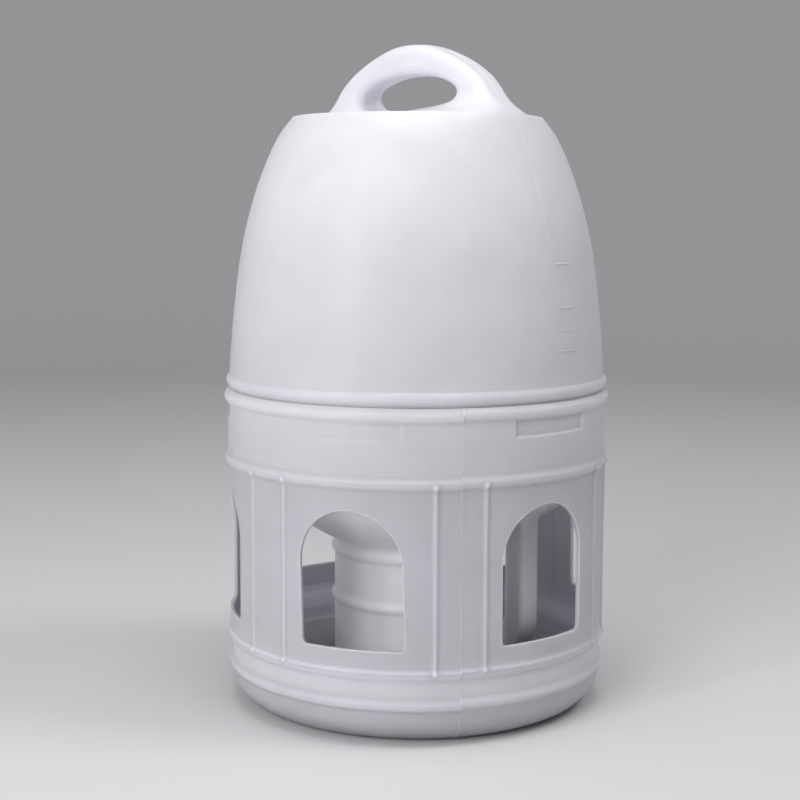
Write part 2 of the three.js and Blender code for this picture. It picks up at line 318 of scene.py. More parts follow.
def base_skin(degrees, along, depth):
    """A point of the base's wall. along runs from the foot's middle out and up the wall; depth goes in."""
    degrees, along, depth = np.broadcast_arrays(degrees, along, depth)
    turn = np.clip((along - FLOOR_RADIUS) / TROUGH_CORNER, 0, math.pi / 2)
    z = np.maximum(along - FLOOR_RADIUS - CORNER_LENGTH, 0) + TROUGH_CORNER
    rib, pad, flash = base_features(degrees, z)
    beads = sum(bead(z, c) for c in BASE_BEADS_Z)
    soft_beads = sum(bead(z, c, 0.9 * MM, 3.4 * MM, 0.5 * MM) for c in BASE_BEADS_Z)
    on_wall = ease(z, TROUGH_CORNER, TROUGH_CORNER + 2 * MM)
    uneven = waves(degrees, z, BASE_WAVES) * on_wall
    standing = along > FLOOR_RADIUS + CORNER_LENGTH
    step = mould_step(degrees, z)

    nub = 4 * np.exp(-(((turn - 0.62) / 0.1) ** 2))  # left where the hot tube was pinched off
    corner_flash = flash * np.where(standing, 1, ease(turn, 0.1, 0.5) + nub)
    out_r = np.where(
        standing,
        wall_radius(z) + beads + rib - PAD_DEPTH * pad + uneven + flash,
        np.minimum(along, FLOOR_RADIUS) + (TROUGH_CORNER + corner_flash) * np.sin(turn),
    )
    out_z = np.where(standing, z + step, TROUGH_CORNER - (TROUGH_CORNER + corner_flash) * np.cos(turn))
    inside = TROUGH_CORNER - WALL
    in_r = np.where(
        standing,
        wall_radius(z) - WALL + soft_beads + 0.35 * rib - PAD_DEPTH * pad + uneven,
        np.minimum(along, FLOOR_RADIUS) + inside * np.sin(turn),
    )
    in_z = np.where(standing, z + step, TROUGH_CORNER - inside * np.cos(turn))
    t = depth / WALL
    return round_axis(out_r + (in_r - out_r) * t, degrees, out_z + (in_z - out_z) * t)


def up_wall(z):
    """Distance along the base's outline of a height on its wall."""
    return z - TROUGH_CORNER + FLOOR_RADIUS + CORNER_LENGTH


def window_outline(count_side, count_top, grow, bay):
    """Points round a window as (across, z), starting at the lower left corner, anticlockwise from outside.
    The lower edge and the top have count_top steps, the sides count_side. grow widens the outline."""
    half = WINDOW_HALF + grow
    sill = WINDOW_SILL_Z - grow
    spring = WINDOW_TOP_Z - WINDOW_HALF
    corner = WINDOW_CORNER + grow
    arc = np.radians(np.linspace(-90, 0, 13))
    low_right = np.stack([half - corner + corner * np.cos(arc), sill + corner + corner * np.sin(arc)], 1)
    arch = np.radians(np.linspace(0, 180, 91))
    top = np.stack([half * np.cos(arch), spring + half * np.sin(arch)], 1)
    low_left = low_right[::-1] * (-1, 1)
    line = np.concatenate([low_right, top, low_left, low_right[:1]])
    length = np.concatenate([[0], np.cumsum(np.linalg.norm(np.diff(line, axis=0), axis=1))])
    first = length[6]
    right_top = length[13 + 22]
    left_top = length[13 + 67]
    last = length[13 + 91 + 6]
    stops = np.concatenate(
        [
            np.linspace(last - length[-1], first, count_top + 1)[:-1],
            np.linspace(first, right_top, count_side + 1)[:-1],
            np.linspace(right_top, left_top, count_top + 1)[:-1],
            np.linspace(left_top, last, count_side + 1)[:-1],
        ]
    )
    stops = stops % length[-1]
    points = np.stack([np.interp(stops, length, line[:, i]) for i in (0, 1)], 1)
    centre = np.array([0, (WINDOW_SILL_Z + WINDOW_TOP_Z) / 2])
    away = points - centre
    heading = np.arctan2(away[:, 1], away[:, 0])
    rough = sum(np.sin(k * heading + (bay + 1) * k * 1.7) / k for k in (3, 7, 13, 22)) * WINDOW_ROUGHNESS
    points = points + away / np.linalg.norm(away, axis=1)[:, None] * rough[:, None]
    skew, lift = WINDOW_TRIM[bay]
    points[:, 0] += skew * (WINDOW_TOP_Z - points[:, 1])
    points[:, 1] += lift * MM * (1 - ease(points[:, 1], sill, spring))
    return points


def base_window_patch(skin, centre, columns, rows, bay):
    """The wall round a window, from a rectangle of the main grid in to the cut edge and through the wall."""
    right = np.stack([np.full(len(rows), columns[-1]), rows], 1)
    left = np.stack([np.full(len(rows), columns[0]), rows], 1)
    low = np.stack([columns, np.full(len(columns), rows[0])], 1)
    high = np.stack([columns, np.full(len(columns), rows[-1])], 1)
    frame_loop = np.concatenate([low[:-1], right[:-1], high[::-1][:-1], left[::-1][:-1]])

    def loop(grow):
        flat = window_outline(len(rows) - 1, len(columns) - 1, grow, bay)
        return np.stack([centre + np.degrees(flat[:, 0] / WALL_RADIUS), flat[:, 1]], 1)

    edge = loop(EDGE_ROUND)
    steps = (0, 0.16, 0.32, 0.48, 0.62, 0.75, 0.86, 0.95, 1)
    spread = [frame_loop * (1 - t) + edge * t for t in steps]
    for depth in (0, WALL):
        skin.grid(np.stack([base_skin(p[:, 0], up_wall(p[:, 1]), depth) for p in spread]), closed=True)
    rounding = [(EDGE_ROUND, 0), (0.5 * EDGE_ROUND, -BURR), (0.1 * EDGE_ROUND, 0.25 * EDGE_ROUND)]
    through = rounding + [(0, EDGE_ROUND), (0, WALL / 2), (0, WALL - EDGE_ROUND)]
    through += [(0.3 * EDGE_ROUND, WALL - 0.3 * EDGE_ROUND), (EDGE_ROUND, WALL)]
    cut = []
    for grow, depth in through:
        p = loop(grow)
        cut.append(base_skin(p[:, 0], up_wall(p[:, 1]), depth))
    skin.grid(np.stack(cut), closed=True)


def make_base():
    skin = Skin()
    bead_spots = [
        (c + side, 0.62 * MM)
        for c in BASE_BEADS_Z
        for side in (-BEAD_HALF, 0, BEAD_HALF)
    ]
    pad_spots = [(PAD_LOW, 0.3 * MM), (PAD_HIGH, 0.3 * MM)]
    below = graded(TROUGH_CORNER, PATCH_LOW, 3 * MM, bead_spots)
    beside = graded(PATCH_LOW, PATCH_HIGH, 3.2 * MM)
    above = graded(PATCH_HIGH, BASE_TOP - EDGE_ROUND, 3 * MM, bead_spots + pad_spots)
    corner = FLOOR_RADIUS + CORNER_LENGTH * np.linspace(0, 1, 15)[1:]
    low_along = np.concatenate([np.linspace(0, FLOOR_RADIUS, 9), corner, up_wall(below[1:])])
    rib_spots = [(RIB_TURN + s * RIB_SPREAD, 0.19) for s in (-1, 1)]
    pad_edges = [(PAD_TURN + s * PAD_HALF, 0.22) for s in (-1, 1)]
    for bay in range(6):
        centre = WINDOW_TURN + 60 * bay
        over = graded(WINDOW_TURN - PATCH_HALF, WINDOW_TURN + PATCH_HALF, 1.8, pad_edges, 0.4) + 60 * bay
        spots = rib_spots + ([(BASE_SEAM, 0.08)] if bay % 3 == 0 else [])
        gap = graded(WINDOW_TURN + PATCH_HALF, WINDOW_TURN + 60 - PATCH_HALF, 2.2, spots, 0.3) + 60 * bay
        for depth in (0, WALL):
            for columns in (over, gap):
                skin.grid(base_skin(columns[None], low_along[:, None], depth))
                skin.grid(base_skin(columns[None], up_wall(above)[:, None], depth))
            skin.grid(base_skin(gap[None], up_wall(beside)[:, None], depth))
        for columns in (over, gap):
            skin.grid(base_rim(columns))
        base_window_patch(skin, centre, over, beside, bay)
    return skin.build("base_moulding")


def base_rim(columns):
    """The rounded top edge, from the outside over to the inside."""
    over = np.linspace(0, math.pi, 9)
    edge = up_wall(BASE_TOP - EDGE_ROUND)
    rise = np.maximum(np.sin(over), 0) ** 0.5 * EDGE_ROUND
    return np.stack(
        [
            base_skin(columns, np.full_like(columns, edge), WALL * (1 - math.cos(a)) / 2)
            + np.array([0, 0, up])
            for a, up in zip(over, rise)
        ]
    )


# ---- reservoir -------------------------------------------------------------------------------------
ARCH_OUTLINE = spline([(r * MM, z * MM) for r, z in HANDLE_LINE], 48)
IN_PLANE = round_axis(1.0, PARTING_TURN, 0.0)
ACROSS = np.array([-IN_PLANE[1], IN_PLANE[0], 0.0])


def bell_side(count):
    """Radius and height down the bell, from under the rim of its flat top to its foot."""
    low = (BELL_FOOT_RADIUS, SHOULDER_BEAD_Z + BEAD_HALF + 0.4 * MM)
    high = (BELL_TOP_RADIUS, BELL_TOP - 1.2 * MM)
    return spline([high, *[(r * MM, z * MM) for r, z in BELL_SIDE], low], count)


def funnel_side(count):
    """From the skirt's lower edge round its corner and down the funnel to the neck."""
    high = [(SKIRT_RADIUS, SKIRT_LOW), (SKIRT_RADIUS, SKIRT_LOW - 5.4 * MM)]
    low = [(NECK_RADIUS + 0.5 * MM, FUNNEL_END + 1 * MM), (NECK_RADIUS, FUNNEL_END)]
    return spline([*high, *[(r * MM, z * MM) for r, z in FUNNEL_SIDE], *low], count)


def bell_outline():
    """The outside of the reservoir from the middle of its top down to the neck's end, in named stretches."""
    top = [(r, BELL_TOP) for r in np.linspace(0, BELL_TOP_RADIUS - 2.4 * MM, 14)]
    side = bell_side(42)
    rim = [(BELL_TOP_RADIUS - 2.2 * MM, BELL_TOP), (BELL_TOP_RADIUS - 0.7 * MM, BELL_TOP - 0.25 * MM)]
    lip = spline([*rim, tuple(side[0])], 4)
    z = graded(LEDGE_Z + 0.4 * MM, side[-1][1], 0.4 * MM)[::-1]
    shoulder = [(BELL_FOOT_RADIUS + bead(v, SHOULDER_BEAD_Z), v) for v in z]
    low = LEDGE_Z
    ledge = [(BELL_FOOT_RADIUS + 0.5 * MM, low + 0.08 * MM), (BELL_FOOT_RADIUS, low)]
    ledge += [(SKIRT_RADIUS + 0.8 * MM, low), (SKIRT_RADIUS + 0.2 * MM, low - 0.2 * MM)]
    ledge += [(SKIRT_RADIUS, low - 0.9 * MM)]
    lug_spots = [(LUG_LOW, 0.35 * MM), (LUG_HIGH, 0.35 * MM)]
    skirt = [(SKIRT_RADIUS, v) for v in graded(SKIRT_LOW, low - 0.9 * MM, 3 * MM, lug_spots)[::-1][1:-1]]
    funnel = funnel_side(40)
    root_rows = int(np.ptp(np.nonzero(in_strap_root(funnel[:, 0], funnel[:, 1]))[0]))
    neck_spots = [(c + s, 0.42 * MM) for c in NECK_BEADS_Z for s in (-BEAD_HALF, 0, BEAD_HALF)]
    neck_z = np.concatenate(
        [
            graded(STRAP_ROOT_HIGH, FUNNEL_END, 2 * MM, neck_spots)[::-1][1:],
            np.linspace(STRAP_ROOT_HIGH, STRAP_ROOT_LOW, root_rows + 1)[1:],
            np.linspace(STRAP_ROOT_LOW, NECK_END + 1 * MM, 4)[1:],
        ]
    )
    neck = [(NECK_RADIUS + sum(bead(v, c) for c in NECK_BEADS_Z), v) for v in neck_z]
    return np.array([*top, *lip, *side[1:], *shoulder[1:], *ledge, *skirt, *funnel, *neck])


def in_strap_root(radius, z):
    """Whether a point of the funnel is where the neck's handle starts."""
    return (z > 85 * MM) & (z < 115 * MM) & (radius > 58 * MM) & (radius < 88 * MM)


def bell_inside():
    """The inside of the reservoir from the neck's end up to the middle of its top, a wall away."""
    lip = [(NECK_RADIUS - 0.3 * MM, NECK_END + 0.2 * MM), (NECK_RADIUS - 1 * MM, NECK_END)]
    lip += [(NECK_RADIUS - 1.7 * MM, NECK_END + 0.2 * MM), (NECK_RADIUS - WALL, NECK_END + 1 * MM)]
    neck = [(NECK_RADIUS - WALL, z) for z in np.linspace(NECK_END + 8 * MM, FUNNEL_END - 1 * MM, 8)]
    funnel = shifted_in(funnel_side(18)[::-1])
    side = shifted_in(bell_side(24)[::-1])
    top = [(r, BELL_TOP - WALL) for r in np.linspace(BELL_TOP_RADIUS - 2 * WALL, 0, 8)]
    skirt = [(SKIRT_RADIUS - WALL, 145 * MM), (SKIRT_RADIUS - WALL, BASE_TOP)]
    return np.array([*lip, *neck, *funnel, *skirt, *side, *top])


def shifted_in(line):
    """A stretch of outline, running up the outside, moved a wall's thickness in."""
    way = np.gradient(line, axis=0)
    way /= np.linalg.norm(way, axis=1)[:, None]
    return line + WALL * np.stack([-way[:, 1], way[:, 0]], 1)


def outline_distance(line, radius, z):
    """Signed distance from points to the reservoir's outline, negative inside."""
    a, b = line[:-1], line[1:]
    d = b - a
    best = np.full(radius.shape, 1e9)
    side = np.ones(radius.shape)
    for (ar, az), (dr, dz) in zip(a, d):
        pr, pz = radius - ar, z - az
        t = np.clip((pr * dr + pz * dz) / (dr * dr + dz * dz + 1e-18), 0, 1)
        qr, qz = pr - t * dr, pz - t * dz
        far = qr * qr + qz * qz
        nearer = far < best
        best = np.where(nearer, far, best)
        side = np.where(nearer, np.where(dr * qz - dz * qr > 0, 1.0, -1.0), side)
    return np.sqrt(best) * side


def merge(a, b, soft):
    """Smooth union of two distances."""
    h = np.clip(0.5 + 0.5 * (b - a) / soft, 0, 1)
    return b + (a - b) * h - soft * h * (1 - h)


def plate(flat, across, half, edge):
    """Distance to a plate with rounded edges, from its flat outline's distance."""
    a, b = flat + edge, np.abs(across) - half + edge
    return np.hypot(np.maximum(a, 0), np.maximum(b, 0)) - edge + np.minimum(np.maximum(a, b), 0)


def oval(along, z):
    """Below 1 inside the finger hole: round on top, squarer and a little tilted below."""
    low = HOLE_WIDEST - HOLE_LOW - 0.08 * np.clip(along, -HOLE_HALF, HOLE_HALF)
    above = z > HOLE_WIDEST
    power = np.where(above, 2.0, 3.6)
    tall = np.abs(z - HOLE_WIDEST) / np.where(above, HOLE_HIGH - HOLE_WIDEST, low)
    return ((np.abs(along) / HOLE_HALF) ** power + tall**power + 1e-9) ** (1 / power)


def arch_distance(p):
    """Distance to the carrying arch: a plate on the parting plane with a finger hole."""
    along, across, z = p @ IN_PLANE, p @ ACROSS, p[..., 2]
    outer = outline_distance(ARCH_OUTLINE, np.abs(along), z)
    step = 0.05 * MM
    level = oval(along, z)
    slope = np.hypot(oval(along + step, z) - level, oval(along, z + step) - level) / step
    hole = (level - 1) / np.maximum(slope, 1 / HOLE_HALF)
    flat = np.maximum(np.maximum(outer, -hole), 268 * MM - z)
    return plate(flat, across, HANDLE_HALF, HANDLE_EDGE)


def mound(p):
    """How far the bell's top swells up beside each foot of the arch."""
    along, across = p @ IN_PLANE, p @ ACROSS
    side = np.where(along > 0, 1, -1)
    near = ((np.abs(along) - 43 * MM) / (21 * MM)) ** 2 + ((across * side + 10 * MM) / (14 * MM)) ** 2
    return MOUND_HEIGHT * np.exp(-near) * ease(p[..., 2], 286 * MM, 297 * MM)


def corner_distance(along, z, side, low, radius):
    """Distance to the space inside side and above low, with a rounded corner."""
    a, b = along - side + radius, low + radius - z
    return np.hypot(np.maximum(a, 0), np.maximum(b, 0)) + np.minimum(np.maximum(a, b), 0) - radius


def strap_distance(p):
    """Distance to the neck's handle: a strap down from the funnel that turns in to the neck."""
    along, across, z = p @ IN_PLANE, p @ ACROSS, p[..., 2]
    outer = corner_distance(along, z, STRAP_OUTER, STRAP_LOW, STRAP_CORNER)
    slot = corner_distance(along, z, STRAP_INNER, SLOT_LOW, SLOT_CORNER)
    flat = np.maximum(np.maximum(outer, -slot), 30 * MM - along)
    return plate(np.maximum(flat, z - 108 * MM), across, STRAP_HALF, 2.2 * MM)


def make_reservoir():
    outline = bell_outline()
    handle_line = outline[(outline[:, 1] > 225 * MM)]
    neck_line = outline[(outline[:, 1] < 150 * MM)]

    def top_solid(p):
        bell = outline_distance(handle_line, np.hypot(p[..., 0], p[..., 1]), p[..., 2]) - mound(p)
        return merge(bell, arch_distance(p), ARCH_BLEND)

    def neck_solid(p):
        bell = outline_distance(neck_line, np.hypot(p[..., 0], p[..., 1]), p[..., 2])
        return merge(bell, strap_distance(p), STRAP_BLEND)

    columns = bell_columns()
    points = round_axis(outline[:, :1], columns[None], outline[:, 1:2])
    holes = []
    foot = rows_between(outline, lambda r, z: r > 18 * MM and z > HANDLE_MESH_Z)
    near, far = span(columns, PARTING_TURN, FOOT_HALF), span(columns, PARTING_TURN + 180, FOOT_HALF)
    holes += [(foot, near), (foot, far)]
    strap_top, strap_low = strap_rows(outline)
    root = span(columns, PARTING_TURN, ROOT_HALF)
    holes += [(strap_top, root), (strap_low, root)]

    upper = np.arange(len(outline)) <= rows_between(outline, lambda r, z: z > 240 * MM)[1]
    points[upper] = settle(points[upper], top_solid, 8)
    lower = slice(strap_top[0] - 6, len(outline))
    points[lower] = settle(points[lower], neck_solid, 8)

    skin = Skin()

    def inside_hole(i, j):
        return any(r[0] <= i < r[1] and c[0] <= j < c[1] for r, c in holes)

    arch = bridge(points, holes[0], holes[1], arch_rings(holes[0], top_solid), top_solid, True, 12)
    strap = bridge(points, holes[2], holes[3], strap_rings(holes[2]), neck_solid, False, 24)
    for surface in (points, arch, strap):
        add_moulding_detail(surface)
    join_ends(arch, points, holes[0], holes[1], True)
    join_ends(strap, points, holes[2], holes[3], False)
    skin.grid(points, closed=True, skip=inside_hole)
    skin.grid(arch, closed=True)
    skin.grid(strap, closed=True)
    inside = bell_inside()
    shell = round_axis(inside[:, :1], columns[None], inside[:, 1:2])
    skin.grid(np.concatenate([points[-1:], shell]), closed=True)
    return skin.build("reservoir_moulding")


def bell_columns():
    """Directions round the reservoir, closest at the parting line and at the lugs' ends. The handles' meshes
    end on fixed ones."""
    stops = [-FOOT_HALF, -ROOT_HALF, ROOT_HALF, FOOT_HALF]
    stops += [180 + s for s in stops]
    lug_ends = [30 + 60 * k + s * LUG_HALF - PARTING_TURN for k in range(6) for s in (-1, 1)]
    spots = [(0, 0.14), (180, 0.14)] + [((a + FOOT_HALF) % 360 - FOOT_HALF, 0.5) for a in lug_ends]
    pieces = [graded(a, b, 2.6, spots, 0.2)[:-1] for a, b in zip(stops, stops[1:] + [stops[0] + 360])]
    return np.concatenate(pieces) + PARTING_TURN


def rows_between(outline, test):
    """First and last row of the outline that pass the test."""
    rows = [i for i, (r, z) in enumerate(outline) if test(r, z)]
    return rows[0], rows[-1]


def span(columns, centre, half):
    """The columns nearest to half to each side of centre."""
    off = angle_from(columns, centre)
    first = int(np.argmin(np.abs(off + half)))
    last = int(np.argmin(np.abs(off - half)))
    return first, last


def strap_rows(outline):
    """Rows of the strap's two roots, on the funnel and on the neck."""
    slack = 0.01 * MM
    top = rows_between(outline, in_strap_root)
    low = rows_between(outline, lambda r, z: STRAP_ROOT_LOW - slack < z < STRAP_ROOT_HIGH + slack)
    return top, low


def hole_loop(hole):
    """Grid places round a hole: along its first row, then down its last column, and back."""
    (r0, r1), (c0, c1) = hole
    loop = [(r0, c) for c in range(c0, c1)] + [(r, c1) for r in range(r0, r1)]
    return loop + [(r1, c) for c in range(c1, c0, -1)] + [(r, c0) for r in range(r1, r0, -1)]


def settle(points, solid, rounds):
    """Moves points on to the solid's surface."""
    step = 0.02 * MM
    shape = points.shape
    p = points.reshape(-1, 3).copy()
    for _ in range(rounds):
        f = solid(p)
        slope = np.stack([(solid(p + step * e) - solid(p - step * e)) / (2 * step) for e in np.eye(3)], -1)
        size = np.maximum((slope**2).sum(-1), 0.05)
        p -= np.clip(f / size, -4 * MM, 4 * MM)[:, None] * slope
    return p.reshape(shape)


def resample(line, count):
    """count evenly spaced steps along a line."""
    length = np.concatenate([[0], np.cumsum(np.linalg.norm(np.diff(line, axis=0), axis=1))])
    at = np.linspace(0, length[-1], count + 1)
    return np.stack([np.interp(at, length, line[:, i]) for i in range(line.shape[1])], 1)


def section_ring(first, last, half, rows, shares):
    """A ring round a handle's section between two of its sides (radius, height), in a hole's order:
    across the first side, over to the last, back across that, and back to the first."""
    side = np.linspace(0, 1, rows + 1)
    across = half * (2 * shares - 1)
    ring = [(first, w) for w in across[:-1]]
    ring += [(first + (last - first) * t, half) for t in side[:-1]]
    ring += [(last, w) for w in across[:0:-1]]
    ring += [(last + (first - last) * t, -half) for t in side[:-1]]
    return np.array([place[0] * IN_PLANE + np.array([0, 0, place[1]]) + w * ACROSS for place, w in ring])


def fine_shares(cols):
    """Shares across a handle's face, closer at the parting line in the middle."""
    t = np.linspace(-1, 1, cols + 1)
    return 0.5 + 0.5 * (0.35 * t + 0.65 * t**3)


def arch_rings(hole, solid):
    """Rings over the arch, from foot to foot, on lines out from a point low in its hole."""
    (r0, r1), (c0, c1) = hole
    start = np.array([0, ARCH_MIDDLE_Z])
    line = np.concatenate([ARCH_OUTLINE[::-1] * (-1, 1), ARCH_OUTLINE[1:]])
    heading = np.arctan2(line[:, 1] - start[1], line[:, 0])
    keep = heading > 0
    far = np.hypot(line[:, 0], line[:, 1] - start[1])
    rings = []
    for angle in np.radians(np.linspace(4, 176, 74)):
        way = np.array([math.cos(angle), math.sin(angle)])
        reach = np.interp(angle, heading[keep][::-1], far[keep][::-1])
        tries = np.linspace(0, 40 * MM, 400)
        spots = start + tries[:, None] * way
        inner = tries[np.argmax(solid(spots[:, :1] * IN_PLANE + spots[:, 1:] * (0, 0, 1)) < 0)]
        sides = fine_shares(c1 - c0)
        rings.append(section_ring(start + way * inner, start + way * reach, HANDLE_HALF, r1 - r0, sides))
    return rings


def strap_rings(top):
    """Rings down the neck's handle, from the funnel to the neck. Its inner side faces the slot."""
    (r0, r1), (c0, c1) = top
    inner_line = [(STRAP_INNER, 80 * MM), (STRAP_INNER, SLOT_LOW + SLOT_CORNER)]
    outer_line = [(STRAP_OUTER, 85 * MM), (STRAP_OUTER, STRAP_LOW + STRAP_CORNER)]
    for angle in np.radians(np.linspace(0, -90, 13)[1:]):
        turn = np.array([math.cos(angle), math.sin(angle)])
        inner_line.append(tuple((STRAP_INNER - SLOT_CORNER, SLOT_LOW + SLOT_CORNER) + SLOT_CORNER * turn))
        outer_line.append(tuple((STRAP_OUTER - STRAP_CORNER, STRAP_LOW + STRAP_CORNER) + STRAP_CORNER * turn))
    inner_line.append((47 * MM, SLOT_LOW))
    outer_line.append((47 * MM, STRAP_LOW))
    inner = resample(np.array(inner_line), 44)
    outer = resample(np.array(outer_line), 44)
    return [section_ring(b, a, STRAP_HALF, r1 - r0, fine_shares(c1 - c0)) for a, b in zip(inner, outer)]


def loop_points(points, hole):
    """The grid's points round a hole."""
    return np.array([points[r, c % points.shape[1]] for r, c in hole_loop(hole)])


def end_loops(points, first, second, over):
    """The two holes' edge points, in the order of the rings between them. over is True for a handle that
    goes over the axis, and False for one whose two holes are above one another."""
    start = loop_points(points, first)
    end = loop_points(points, second)
    (r0, r1), (c0, c1) = second
    return start, np.roll(end[::-1], c1 - c0 + 1 if over else r0 + 1 - r1, axis=0)


def bridge(points, first, second, rings, solid, over, steps):
    """A tube of rings between two holes in the grid, settled on to the solid."""
    start, end = end_loops(points, first, second, over)
    lead = [start * (1 - t) + rings[0] * t for t in np.linspace(0, 1, steps)[1:-1]]
    tail = [rings[-1] * (1 - t) + end * t for t in np.linspace(0, 1, 12)[1:-1]]
    tube = np.stack([start, *lead, *rings, *tail, end])
    for _ in range(30):
        tube[1:-1] = settle(tube[1:-1], solid, 1)
        tube[1:-1] += 0.45 * ((tube[:-2] + tube[2:]) / 2 - tube[1:-1])
    tube[1:-1] = settle(tube[1:-1], solid, 8)
    return tube


def join_ends(tube, points, first, second, over):
    """Puts the tube's two ends exactly on the holes' edges."""
    tube[0], tube[-1] = end_loops(points, first, second, over)


def add_moulding_detail(points):
    """Lifts the seam's flash, the lock lugs and slow waves out of the reservoir's outside, in place."""
    z = points[..., 2]
    degrees = np.degrees(np.arctan2(points[..., 0], -points[..., 1]))
    radius = np.hypot(points[..., 0], points[..., 1])
    out = points * (1, 1, 0) / np.maximum(radius, 1e-6)[..., None]
    across = points @ ACROSS
    flash = BELL_FLASH * (1 + 0.3 * np.sin(700 * z)) * np.exp(-((across / (0.32 * MM)) ** 2))
    shows = 0.25 + 0.75 * ease(z, 228 * MM, 240 * MM)
    on_top = ease(z, 297 * MM, 303 * MM)
    way = out * (1 - on_top[..., None]) + handle_outward(points) * on_top[..., None]
    side = ease(radius, 40 * MM, 60 * MM) * (1 - on_top) + on_top
    low_part = z < 112 * MM
    flash = flash * np.where(low_part, 0.6, shows * side)
    lug = band(nearest_of(degrees, 30, 6), -LUG_HALF, LUG_HALF, 1.2) * band(z, LUG_LOW, LUG_HIGH, 1.6 * MM)
    lug = LUG_HEIGHT * lug * (radius > 90 * MM)
    bell = ease(z, 150 * MM, 175 * MM) * (1 - ease(z, 262 * MM, 285 * MM))
    lift = lug + waves(degrees, z, BELL_WAVES) * bell
    points += out * lift[..., None] + way * flash[..., None]


def handle_outward(points):
    """Direction away from the middle of the arch's band, in the parting plane."""
    along, z = points @ IN_PLANE, points[..., 2]
    middle = 300 * MM
    reach = np.maximum(np.hypot(along, z - middle), 1e-6)
    inner = oval(along, z) < 1.25
    flat = along[..., None] * IN_PLANE + (z - middle)[..., None] * np.array([0, 0, 1.0])
    return flat * (np.where(inner, -1.0, 1.0) / reach)[..., None]


def make_marks():
    """Fill marks: short raised strokes on the bell, beside the parting line."""
    skin = Skin()
    side = bell_side(400)
    uu, vv = np.meshgrid(np.linspace(-1, 1, 25), np.linspace(-1, 1, 13))
    for z, spread in zip(MARKS_Z, MARK_SPREADS):
        height = z + vv * MARK_HALF
        radius = np.interp(-height, -side[:, 1], side[:, 0])
        ends = np.clip((1 - np.abs(uu)) * spread * 2, 0, 1)
        rise = MARK_RISE * np.sqrt(np.clip(1 - vv**2, 0, 1)) * np.sqrt(ends) - 0.15 * MM
        turn = MARK_TURN + uu * spread
        skin.grid(round_axis(radius + rise, turn, height))
        skin.grid(round_axis(radius - MARK_ROOT, turn, height))
        for edge in (np.s_[:, 0], np.s_[:, -1], np.s_[0, :], np.s_[-1, :]):
            upper = round_axis((radius + rise)[edge], turn[edge], height[edge])
            lower = round_axis((radius - MARK_ROOT)[edge], turn[edge], height[edge])
            skin.grid(np.stack([upper, lower]))
    return skin.build("fill_marks")


# ---- materials -------------------------------------------------------------------------------------
def slot_colour(name):
    return next(m["base_color"] for m in frame["record"]["materials"] if m["slot"] == name)


